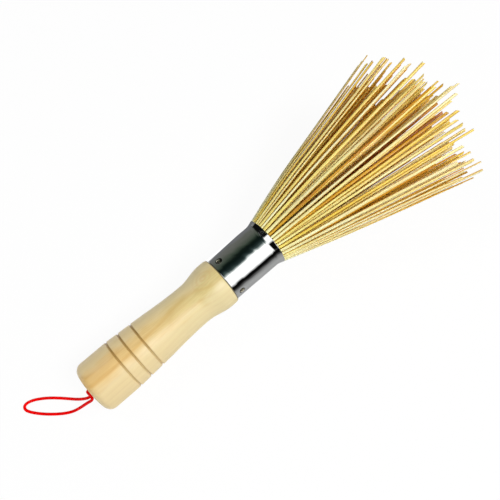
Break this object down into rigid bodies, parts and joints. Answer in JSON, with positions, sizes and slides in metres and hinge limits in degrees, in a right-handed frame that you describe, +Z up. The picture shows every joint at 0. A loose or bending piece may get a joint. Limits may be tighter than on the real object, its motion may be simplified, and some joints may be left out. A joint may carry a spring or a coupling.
{
  "type": "bamboo wok brush",
  "caption": "Wok brush of split bamboo splints that fan out from a polished steel ferrule on a turned wooden handle with a red hanging cord.",
  "frame": {"origin": "bottom centre of the brush's bounding box as it lies on its side, cord left out: on the floor, halfway along and halfway across", "axes": "+X along the brush from the handle's butt to the splint tips, +Y across it, +Z up from the floor"},
  "size_m": [0.3156, 0.1044, 0.1059],
  "materials": {
    "turned_wood": "satin",
    "sheet_steel": "polished",
    "nail_steel": "polished",
    "wedge_wood": "matte",
    "bamboo": "satin",
    "cord": "gloss"
  },
  "bodies": {
    "root": {"handle": "turned_wood", "ferrule": "sheet_steel", "ferrule_nails": "nail_steel", "spreading_wedge": "wedge_wood", "hanging_cord": "cord", "splint_ring_1": "bamboo", "splint_ring_2": "bamboo", "splint_ring_3": "bamboo", "splint_ring_4": "bamboo", "splint_ring_5": "bamboo", "splint_ring_6": "bamboo", "splint_ring_7": "bamboo", "splint_ring_8": "bamboo"}
  },
  "joints": []
}
